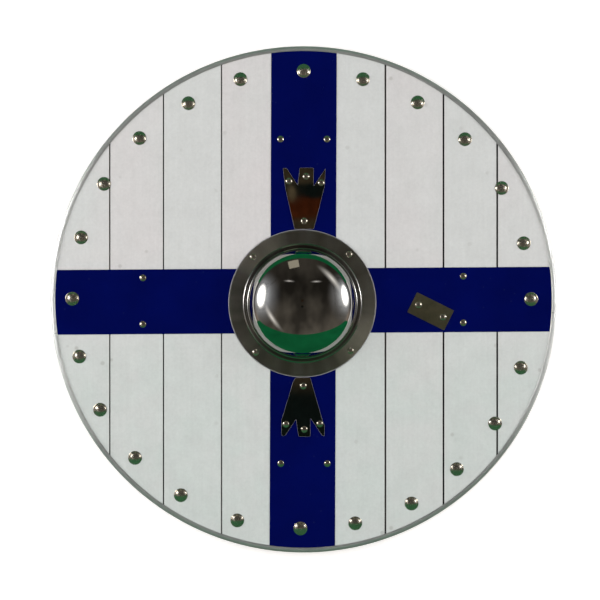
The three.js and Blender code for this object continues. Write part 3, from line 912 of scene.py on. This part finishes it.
def boss_side(sizes, depth):
    """One side of the boss's sheet from the crown to the flange, set in by a depth."""
    base = BOSS_LOW.z
    across = sizes.dome_radius - sizes.shoulder_curvature
    tangent = math.asin(across / (sizes.crown_curvature - sizes.shoulder_curvature))
    crown = BOSS_HIGH.z - sizes.crown_curvature
    shoulder = crown + (sizes.crown_curvature - sizes.shoulder_curvature) * math.cos(tangent)
    curvature = sizes.crown_curvature - depth
    points = arc(0, crown, curvature, curvature, 0, tangent, CROWN_STEPS)
    curvature = sizes.shoulder_curvature - depth
    quarter = math.pi / 2
    round_over = arc(across, shoulder, curvature, curvature, tangent, quarter, SHOULDER_STEPS)
    points += round_over[1:]
    seat = base + sizes.boss_sheet - depth
    foot_height = base + sizes.boss_sheet + sizes.foot_curvature
    foot_across = sizes.dome_radius + sizes.foot_curvature
    curvature = sizes.foot_curvature + depth
    points += arc(foot_across, foot_height, curvature, curvature, -quarter, -math.pi, FOOT_STEPS)
    sunk = sizes.bead_curvature - sizes.bead_height
    bead_reach = math.sqrt(sizes.bead_curvature**2 - sunk**2)
    bead_radius = foot_across + bead_reach
    bead_centre = base + sizes.boss_sheet - sunk
    section = sizes.bead_curvature - depth
    reach = math.acos((seat - bead_centre) / section)
    points += arc(bead_radius, bead_centre, section, section, -reach, reach, BEAD_STEPS)
    return points, seat


def boss_finish(face, satin_from, edge_from):
    """Which finish a face of the boss has: polished within the bead, spun outside it and behind."""
    across = (face.calc_center_median() - BOSS_CENTRE).xy.length
    if across > edge_from and face.normal.z > -0.1:
        return BOSS_FINISHES.index("cut_edge")
    return int(across > satin_from or face.normal.z < -0.1)


class SHIELD_OT_boss(bpy.types.Operator):
    """Spin the boss, with its dome, bead and flange"""

    bl_idname = "round_shield.boss"
    bl_label = "Boss"

    def execute(self, context):
        sizes = context.scene.round_shield_sizes
        face, top = boss_side(sizes, 0.0)
        back, seat = boss_side(sizes, sizes.boss_sheet)
        satin_from = face[-1][0]
        edge_from = FLANGE_RADIUS - sizes.boss_edge
        curve = sizes.boss_edge
        edge = arc(edge_from, top - curve, curve, curve, 0, math.pi / 2, EDGE_STEPS)
        section = face + edge + [(FLANGE_RADIUS, seat)] + back[::-1]
        shape = spun(section, BOSS_CENTRE, sizes.boss_steps)
        shape.normal_update()
        for piece_face in shape.faces:
            piece_face.material_index = boss_finish(piece_face, satin_from, edge_from)
        finish_piece("spun_boss", shape, BOSS_FINISHES, "boss")
        return {"FINISHED"}


# Rivets

LARGE_SHANK = {"shank": 2.6 * MM, "tail": 5 * MM, "tail_height": 2.2 * MM}
SMALL_SHANK = {"shank": 1.8 * MM, "tail": 3.4 * MM, "tail_height": 1.8 * MM}
SMALL_HEAD = 4 * MM
RECESS_DEPTH = 3 * MM
HEAD_LIP = 0.04  # rounding at the foot of a head, as a share of its radius
TAIL_SHAPE = [(0, 0), (0.6, 0.06), (0.9, 0.35), (1, 0.7), (0.96, 1)]  # as shares of its sizes
HEAD_STEPS = 12
LARGE_STEPS = 48
SMALL_STEPS = 32


def rivet_profile(head, head_height, seat, low, shank, tail, tail_height):
    """A peened tail, a shank and a domed head, from the axis below to the axis above."""
    curvature = (head**2 + head_height**2) / (2 * head_height)
    edge_angle = math.asin(head / curvature)
    lip = HEAD_LIP * head
    points = [(across * tail, low + up * tail_height) for across, up in TAIL_SHAPE]
    points += [(shank, low + tail_height), (shank, seat), (head - lip, seat), (head, seat + lip)]
    middle = seat + head_height - curvature
    dome = arc(0, middle, curvature, curvature, edge_angle, 0, HEAD_STEPS)
    return points + dome[1:]


def make_rivet(name, centre, head, head_height, seat, low, sizes_below, steps, node=None):
    finish = "bright_rivet" if sizes_below is SMALL_SHANK else "plated_rivet"
    profile = rivet_profile(head, head_height, seat, low, **sizes_below)
    shape = spun(profile, Vector((centre.x, centre.y, 0)), steps)
    return finish_piece(name, shape, [finish], node)


def rivet_for_node(node, head_height, sizes_below, steps):
    """A smooth rivet where the CAD node's faceted one is."""
    low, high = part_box(node)
    centre = (low + high) / 2
    head = (high.y - low.y) / 2
    name = node.replace("rivet", "rivet_head")
    seat = high.z - head_height
    return make_rivet(name, centre, head, head_height, seat, low.z, sizes_below, steps, node)


class SHIELD_OT_rivets(bpy.types.Operator):
    """Set the loose rivets of the rim, the boss and the cross"""

    bl_idname = "round_shield.rivets"
    bl_label = "Rivets"

    def execute(self, context):
        sizes = context.scene.round_shield_sizes
        for node in nodes_named("rim_rivet_"):
            rivet_for_node(node, sizes.large_head_height, LARGE_SHANK, LARGE_STEPS)
        for node in nodes_named("boss_rivet_") + nodes_named("band_rivet_"):
            rivet_for_node(node, sizes.small_head_height, SMALL_SHANK, SMALL_STEPS)
        return {"FINISHED"}


# Plates

# Outlines and rivets in millimetres, outwards from the flange, with the right side first
UPPER_FORK = {
    "outline": [
        (11.6, 0), (24.6, 51), (25.7, 73), (11.4, 51.5), (11.4, 73.8), (-5.4, 73.8),
        (-7.7, 52.9), (-21, 73.4), (-25.6, 73.4), (-22.7, 49), (-11.6, 0),
    ],
    "rivets": [(0, 9.8), (20.5, 56), (2.3, 63.5), (-18.4, 57.8)],
    "centre_x": 0.8,
    "turn": 0,
}
LOWER_FORK = {
    "outline": [
        (8.9, 0), (11.6, 4.6), (25.7, 51), (25.9, 69.2), (23.6, 70.5), (21.1, 69.8),
        (8.2, 50.1), (5.1, 71.1), (-9, 71.1), (-9.1, 48.9), (-23.3, 69.8), (-26.2, 70.5),
        (-26.2, 57.4), (-23.7, 51.5), (-9, 0),
    ],
    "rivets": [(-0.6, 10.1), (20.3, 56.1), (-1.8, 62.3), (-20.5, 55.7)],
    "centre_x": -0.8,
    "turn": math.pi,
}
FLANGE_GAP = 0.3 * MM
FLAT_UP = 0.99  # a face that leans more than this is part of the cut edge
PATCH_HALF_LENGTH = 24.9
PATCH_HALF_WIDTH = 13.5
PATCH_TURN = math.radians(-26.5)
PATCH_RIVETS = [(-16.5, 0.5), (16.5, 0.5)]


def placing(x, y, turn):
    return Matrix.Translation((x, y, PLATE_SEAT)) @ Matrix.Rotation(turn, 4, "Z")


def cut_plate(outline, thickness, edge, place):
    """A flat plate cut to an outline in millimetres, its upper edge a little rounded."""
    shape = bmesh.new()
    verts = [shape.verts.new((x * MM, y * MM, 0)) for x, y in outline]
    base = shape.faces.new(verts)
    lifted = bmesh.ops.extrude_face_region(shape, geom=[base], use_keep_orig=True)
    raised = [item for item in lifted["geom"] if isinstance(item, bmesh.types.BMVert)]
    bmesh.ops.translate(shape, verts=raised, vec=(0, 0, thickness))
    bmesh.ops.recalc_face_normals(shape, faces=shape.faces)
    corners = []
    for item in shape.edges:
        if abs(item.verts[0].co.z - item.verts[1].co.z) > WELD:
            corners.append(item)
    round_edges(shape, corners, 2 * edge, 3)
    round_edges(shape, edges_at(shape, thickness), edge)
    shape.normal_update()
    for face in shape.faces:
        face.material_index = int(face.normal.z < FLAT_UP)
    bmesh.ops.transform(shape, matrix=place, verts=shape.verts)
    return shape


def set_plate_rivets(word, points, place, thickness):
    """Small rivets at points in millimetres on a plate."""
    sizes = bpy.context.scene.round_shield_sizes
    for i, (x, y) in enumerate(points, 1):
        centre = place @ Vector((x * MM, y * MM, 0))
        seat = PLATE_SEAT + thickness
        low = RECESS_DEPTH - SMALL_SHANK["tail_height"] - FLANGE_GAP
        name = f"{word}_rivet_head_{i}"
        height = sizes.small_head_height
        make_rivet(name, centre, SMALL_HEAD, height, seat, low, SMALL_SHANK, SMALL_STEPS)


class SHIELD_OT_fork_plates(bpy.types.Operator):
    """Cut the two fork plates above and below the boss"""

    bl_idname = "round_shield.fork_plates"
    bl_label = "Fork Plates"

    def execute(self, context):
        sizes = context.scene.round_shield_sizes
        for node, fork in [("fork_plate_upper", UPPER_FORK), ("fork_plate_lower", LOWER_FORK)]:
            outwards = math.cos(fork["turn"])
            y = BOSS_CENTRE.y + outwards * (FLANGE_RADIUS + FLANGE_GAP)
            place = placing(fork["centre_x"] * MM, y, fork["turn"])
            shape = cut_plate(fork["outline"], sizes.fork_thickness, sizes.plate_edge, place)
            name = node.replace("fork_plate", "steel_fork")
            finishes = ["polished_fork", "cut_edge"]
            finish_piece(name, shape, finishes, node, weighted=True)
            set_plate_rivets(name, fork["rivets"], place, sizes.fork_thickness)
        return {"FINISHED"}


class SHIELD_OT_patch_plate(bpy.types.Operator):
    """Cut the plain patch plate on the right arm"""

    bl_idname = "round_shield.patch_plate"
    bl_label = "Patch Plate"

    def execute(self, context):
        sizes = context.scene.round_shield_sizes
        low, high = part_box("patch_plate")
        middle = (low + high) / 2
        place = placing(middle.x, middle.y, PATCH_TURN)
        across, up = PATCH_HALF_LENGTH, PATCH_HALF_WIDTH
        outline = [(-across, -up), (across, -up), (across, up), (-across, up)]
        shape = cut_plate(outline, sizes.patch_thickness, sizes.plate_edge, place)
        finishes = ["dull_patch", "dull_patch"]  # its cut edge is as dull as its face
        finish_piece(
            "dull_patch", shape, finishes, "patch_plate", weighted=True
        )
        set_plate_rivets("dull_patch", PATCH_RIVETS, place, sizes.patch_thickness)
        return {"FINISHED"}


# Stage

SENSOR = 36 * MM
SHIELD_MIDDLE = Vector((0, 0, 0.03))
FACE_HEIGHT = 30 * MM  # where the view has its stated width
CAMERA_SLIP = Vector((-4.2 * MM, -0.8 * MM))  # the photo isn't quite centred on the shield

OVERHEAD_PLACE = Vector((0, 0, 3.2))
OVERHEAD_WIDTH = 3.0
SIDE_LIGHT_DISTANCE = 2.0  # times the softbox's
SIDE_LIGHT_SIZE = (1.2, 0.8)

# Cards that only the metal mirrors, placed by what the rivets, the dome and the plates show
SOFTBOX_PLACES = {"right": Vector((0.86, 0.16, 0.47)), "left": Vector((-0.76, 0.14, 0.47))}
SOFTBOX_GLOWS = [  # name, length, width, colour and the stage's value for its strength
    ("softbox", 0.54, 0.27, (1.0, 0.985, 0.96), "softbox_glow"),
    ("glare", 0.9, 0.62, (0.9, 0.94, 1.0), "glare_glow"),
    ("halo", 1.3, 1.1, (0.88, 0.92, 1.0), "halo_glow"),
]
SMALL_GLOW_DISTANCE = 1.0
SMALL_GLOW_RGB = (1.0, 0.97, 0.93)
SMALL_GLOWS = [  # name, tilt and turn of both ends, width and the stage's value for its strength
    ("arc_right", (58, 8), (57, 72), 0.2, "arc_glow"),
    ("arc_left", (55, 174), (47.5, 240), 0.16, "arc_glow"),
    ("bulb_left", (41, 132), (30, 106), 0.07, "bulb_glow"),
    ("bulb_right", (30, 72), (41, 46), 0.07, "bulb_glow"),
]
WINDOW_ENDS = ((56, 110), (56, 95))
WINDOW_HEIGHT = 0.2
WINDOW_RGB = (0.95, 0.87, 0.68)
CLOTH_HALF_LENGTH = 0.8
CLOTHS = {"cloth_above": (0.376, 0.21), "cloth_below": (-0.324, 0.37)}  # Y and height of the top
CEILING_HEIGHT = 6.0
CEILING_MIDDLES = {"ceiling_above": 0.126, "ceiling_below": -0.132}  # up the shield's face
CEILING_CARD = (0.06, 0.075)  # half sizes, as on the shield's face
CEILING_BANDS = [  # up the shield's face, with the colour from there on
    (-0.116, "shade"), (-0.096, "timber"), (0.093, "timber"), (0.101, "ceiling"),
    (0.122, "ceiling"), (0.125, "shade"), (0.139, "shade"), (0.143, "timber"),
]
CEILING_WAVER = 0.008
OPENING_MIDDLE = (-0.0115, 0.1285)  # a pale place overhead, as on the shield's face
OPENING_HALF_SIZES = (0.006, 0.013)
OPENING_GAIN = 2.6  # times the timber


def aim(source, target):
    """Turns a lamp or camera at one place to look at another."""
    return (target - source).to_track_quat("-Z", "Y")


def area_light(name, place, width, length, power):
    """A soft light on everything but what the metal mirrors."""
    lamp = bpy.data.lights.new(name, "AREA")
    lamp.shape = "RECTANGLE"
    lamp.size = width
    lamp.size_y = length
    lamp.energy = power
    light = bpy.data.objects.new(name, lamp)
    light.location = place
    light.rotation_euler = aim(place, SHIELD_MIDDLE).to_euler()
    light.visible_camera = False
    light.visible_glossy = False
    bpy.context.scene.collection.objects.link(light)


def stage_object(name, shape, material):
    """Makes a bmesh a thing of the stage, which isn't part of the shield."""
    mesh = bpy.data.meshes.new(name)
    shape.to_mesh(mesh)
    shape.free()
    mesh.materials.append(material)
    thing = bpy.data.objects.new(name, mesh)
    bpy.context.scene.collection.objects.link(thing)
    return thing


def mirrored_card(name, start, end, width, facing, finish):
    """A card between two points, seen only in the metal. Its own X runs from start to end."""
    along = (end - start).normalized()
    across = facing.cross(along).normalized()
    half_length, half_width = (end - start).length / 2, width / 2
    corners = [(-half_length, -half_width), (half_length, -half_width)]
    corners += [(half_length, half_width), (-half_length, half_width)]
    shape = bmesh.new()
    shape.faces.new([shape.verts.new((x, y, 0)) for x, y in corners])
    card = stage_object(name, shape, finish(name, half_length, half_width))
    card.rotation_euler = Matrix((along, across, along.cross(across))).transposed().to_euler()
    card.location = (start + end) / 2
    card.visible_camera = False
    card.visible_diffuse = False
    card.visible_shadow = False


def fading_glow(rgb, strength):
    """A finish for a card: light that fades out from its middle and hides nothing behind it."""

    def finish(name, half_length, half_width):
        material, tree, place = begin_nodes(name)
        reach = stretched(tree, place, (1 / half_length, 1 / half_width, 1.0))
        glow = times(tree, fading(tree, reach, "QUADRATIC_SPHERE"), strength)
        light = put(tree, "ShaderNodeEmission", {"Color": opaque(rgb), "Strength": glow})
        clear = put(tree, "ShaderNodeBsdfTransparent")
        both = put(tree, "ShaderNodeAddShader", {0: light.outputs[0], 1: clear.outputs[0]})
        put(tree, "ShaderNodeOutputMaterial", {"Surface": both.outputs[0]})
        return material

    return finish


def steady_glow(paint, soft_edge=False):
    """A finish for a card, coloured by a function of its own place. A soft edge fades away."""

    def finish(name, half_length, half_width):
        material, tree, place = begin_nodes(name)
        surface = put(tree, "ShaderNodeEmission", {"Color": paint(tree, place)}).outputs[0]
        if soft_edge:
            reach = stretched(tree, place, (1 / half_length, 1 / half_width, 1.0))
            shown = remap(tree, fading(tree, reach, "SPHERICAL"), 0.0, 0.3)
            clear = put(tree, "ShaderNodeBsdfTransparent").outputs[0]
            sockets = {0: shown, 1: clear, 2: surface}
            surface = put(tree, "ShaderNodeMixShader", sockets).outputs[0]
        put(tree, "ShaderNodeOutputMaterial", {"Surface": surface})
        return material

    return finish


def softboxes(stage):
    """A soft lamp at each side: one light for the paint, and its glows for the metal."""
    for side, place in SOFTBOX_PLACES.items():
        far = SIDE_LIGHT_DISTANCE * place
        area_light(f"side_light_{side}", far, *SIDE_LIGHT_SIZE, stage.side_power)
        for word, length, width, rgb, value in SOFTBOX_GLOWS:
            reach = Vector((0, length / 2, 0))
            glow = fading_glow(rgb, getattr(stage, value))
            facing = SHIELD_MIDDLE - place
            mirrored_card(f"{word}_{side}", place - reach, place + reach, width, facing, glow)


def far_card(name, ends, width, finish):
    """A mirrored card between two directions, each a tilt and a turn."""
    start, end = (SMALL_GLOW_DISTANCE * direction(tilt, turn) for tilt, turn in ends)
    mirrored_card(name, start, end, width, SHIELD_MIDDLE - (start + end) / 2, finish)


def small_glows(stage):
    """Two long soft strips, two bulbs and a small window, farther off."""
    for name, start, end, width, value in SMALL_GLOWS:
        far_card(name, (start, end), width, fading_glow(SMALL_GLOW_RGB, getattr(stage, value)))
    pane = opaque([stage.window_glow * part for part in WINDOW_RGB])
    far_card("window", WINDOW_ENDS, WINDOW_HEIGHT, steady_glow(lambda tree, place: pane))


def cloths(colours):
    """Green cloth that stands a little way up above and below the shield."""

    def paint(tree, place):
        return tinted(tree, opaque(colours.cloth), soft_mottle(tree, place, 5.0, 0.8, 1.15))

    for name, (y, top) in CLOTHS.items():
        middle = Vector((0, y, top / 2))
        reach = Vector((CLOTH_HALF_LENGTH, 0, 0))
        facing = Vector((0, -y, 0)).normalized()
        mirrored_card(name, middle - reach, middle + reach, top, facing, steady_glow(paint))


def ceiling_paint(colours, spread, middle):
    """The colours overhead in bands, as a function of a card's own place."""

    def paint(tree, place):
        sockets = {
            "Vector": place,
            "Location": (0, middle, 0),
            "Scale": (1 / spread, 1 / spread, 1),
        }
        face = put(tree, "ShaderNodeMapping", sockets).outputs["Vector"]
        waver = times(tree, noise(tree, face, 22.0, 2.0), CEILING_WAVER)
        offset = calculate(tree, "SUBTRACT", waver, CEILING_WAVER / 2)
        wavy = plus(tree, along_axis(tree, face, "Y"), offset)
        shown = opaque(colours.shade)
        for (low, _), (high, band) in zip(CEILING_BANDS, CEILING_BANDS[1:]):
            rgb = opaque(getattr(colours, band))
            shown = blend_colours(tree, remap(tree, wavy, low, high), shown, rgb)
        mottled = tinted(tree, shown, soft_mottle(tree, face, 130.0, 0.6, 1.4))
        across, up = OPENING_MIDDLE
        width, height = OPENING_HALF_SIZES
        sockets = {
            "Vector": face,
            "Location": (-across / width, -up / height, 0),
            "Scale": (1 / width, 1 / height, 1),
        }
        around = put(tree, "ShaderNodeMapping", sockets).outputs["Vector"]
        inside = remap(tree, fading(tree, around, "SPHERICAL"), 0.0, 0.4)
        pale = opaque([OPENING_GAIN * part for part in colours.timber])
        return blend_colours(tree, inside, mottled, pale)

    return paint


def ceiling(colours, stage):
    """Overhead, as each fork plate mirrors it, on a far card over each plate."""
    spread = 1 + CEILING_HEIGHT / stage.camera_height
    half_width, half_height = (spread * half for half in CEILING_CARD)
    for name, middle in CEILING_MIDDLES.items():
        place = Vector((0, spread * middle, CEILING_HEIGHT))
        reach = Vector((half_width, 0, 0))
        finish = steady_glow(ceiling_paint(colours, spread, middle), soft_edge=True)
        mirrored_card(name, place - reach, place + reach, 2 * half_height, UP, finish)


def make_floor(colours, stage):
    shape = bmesh.new()
    bmesh.ops.create_grid(shape, x_segments=1, y_segments=1, size=stage.floor_size / 2)
    even = {
        "Roughness": 0.9,
        "Specular IOR Level": 0.1,
        "Emission Color": opaque(colours.floor),
        "Emission Strength": stage.floor_glow,
    }
    material, tree, shader, place = begin_material("pale_floor", even)
    base = tinted(tree, opaque(colours.floor), soft_mottle(tree, place, 3.0, 0.99, 1.01))
    link(tree, base, shader, "Base Color")
    stage_object("floor", shape, material)


# Directions in the room, as parts of a unit vector
ROOM_STRETCH = (1.0, 0.6, 0.5)
ROOM_CLUTTER = (0.5, 1.7)  # darkest and brightest, times the room's colour
ROOM_BACK, ROOM_FRONT = 0.3, -0.5  # along Y
ROOM_LIFT = (0.75, 2.0)  # at the back and at the front, times the room's colour
CARPET_TOP = (0.42, 0.25)  # along Z, where the carpet begins and where it is whole
CARPET_EDGE = (-0.08, -0.25)  # along Y, in the same way


def make_room(colours, stage):
    """Pale behind the floor, and a dim room where the metal mirrors it."""
    world = bpy.data.worlds.new("studio")
    world.use_nodes = True
    tree = world.node_tree
    tree.nodes.clear()
    around = put(tree, "ShaderNodeTexCoord").outputs["Generated"]
    shape = noise(tree, stretched(tree, around, ROOM_STRETCH), 2.6, 2.0)
    clutter = remap(tree, shape, 0.35, 0.7, *ROOM_CLUTTER)
    forwards = along_axis(tree, around, "Y")
    lift = remap(tree, forwards, ROOM_BACK, ROOM_FRONT, *ROOM_LIFT)
    dim = tinted(tree, opaque(colours.room), times(tree, clutter, lift))
    low = remap(tree, along_axis(tree, around, "Z"), *CARPET_TOP)
    front = remap(tree, forwards, *CARPET_EDGE)
    dim = blend_colours(tree, times(tree, low, front), dim, opaque(colours.carpet))
    is_camera = put(tree, "ShaderNodeLightPath").outputs["Is Camera Ray"]
    shown = blend_colours(tree, is_camera, dim, opaque([stage.pale_room] * 3))
    background = put(tree, "ShaderNodeBackground", {"Color": shown})
    put(tree, "ShaderNodeOutputWorld", {"Surface": background.outputs["Background"]})
    bpy.context.scene.world = world


def make_camera(stage):
    lens = bpy.data.cameras.new("overhead_camera")
    camera = bpy.data.objects.new("overhead_camera", lens)
    across, up = stage.camera_x + CAMERA_SLIP.x, CAMERA_SLIP.y
    camera.location = (across, up, stage.camera_height)
    lens.sensor_width = SENSOR / MM
    lens.lens = lens.sensor_width * (stage.camera_height - FACE_HEIGHT) / stage.view_width
    lens.clip_end = 100.0
    bpy.context.scene.collection.objects.link(camera)
    bpy.context.scene.camera = camera


class SHIELD_OT_stage(bpy.types.Operator):
    """Set the pale floor, the soft lights and the camera above"""

    bl_idname = "round_shield.stage"
    bl_label = "Stage"

    def execute(self, context):
        scene = context.scene
        stage = scene.round_shield_stage
        colours = scene.round_shield_colours
        finish_named("off_white_paint")
        make_floor(colours, stage)
        make_room(colours, stage)
        power = stage.overhead_power
        area_light("overhead", OVERHEAD_PLACE, OVERHEAD_WIDTH, OVERHEAD_WIDTH, power)
        softboxes(stage)
        small_glows(stage)
        cloths(colours)
        ceiling(colours, stage)
        make_camera(stage)
        scene.view_settings.view_transform = "Standard"
        scene.view_settings.look = "None"
        return {"FINISHED"}


# Panel and registration

OPERATORS = [
    SHIELD_OT_boards,
    SHIELD_OT_strips,
    SHIELD_OT_back_wood,
    SHIELD_OT_rim,
    SHIELD_OT_boss,
    SHIELD_OT_rivets,
    SHIELD_OT_fork_plates,
    SHIELD_OT_patch_plate,
    SHIELD_OT_stage,
]


class SHIELD_PT_sidebar(bpy.types.Panel):
    """Lists what builds the shield, in order"""

    bl_idname = "SHIELD_PT_sidebar"
    bl_label = "Wooden Round Shield"
    bl_space_type = "VIEW_3D"
    bl_region_type = "UI"
    bl_category = "Round Shield"

    def draw(self, context):
        for operator in OPERATORS:
            self.layout.operator(operator.bl_idname)
        for word in GROUPS:
            group = getattr(context.scene, word)
            for name in group.__annotations__:
                self.layout.prop(group, name)


GROUPS = {
    "round_shield_sizes": ShieldSizes,
    "round_shield_colours": ShieldColours,
    "round_shield_stage": ShieldStage,
}


def register():
    for group in GROUPS.values():
        bpy.utils.register_class(group)
    for name, group in GROUPS.items():
        setattr(bpy.types.Scene, name, PointerProperty(type=group))
    for operator in OPERATORS:
        bpy.utils.register_class(operator)
    bpy.utils.register_class(SHIELD_PT_sidebar)


def unregister():
    bpy.utils.unregister_class(SHIELD_PT_sidebar)
    for operator in reversed(OPERATORS):
        bpy.utils.unregister_class(operator)
    for name, group in GROUPS.items():
        delattr(bpy.types.Scene, name)
        bpy.utils.unregister_class(group)


def main():
    register()
    for operator in OPERATORS:
        category, name = operator.bl_idname.split(".")
        getattr(getattr(bpy.ops, category), name)()


if __name__ == "__main__":
    main()
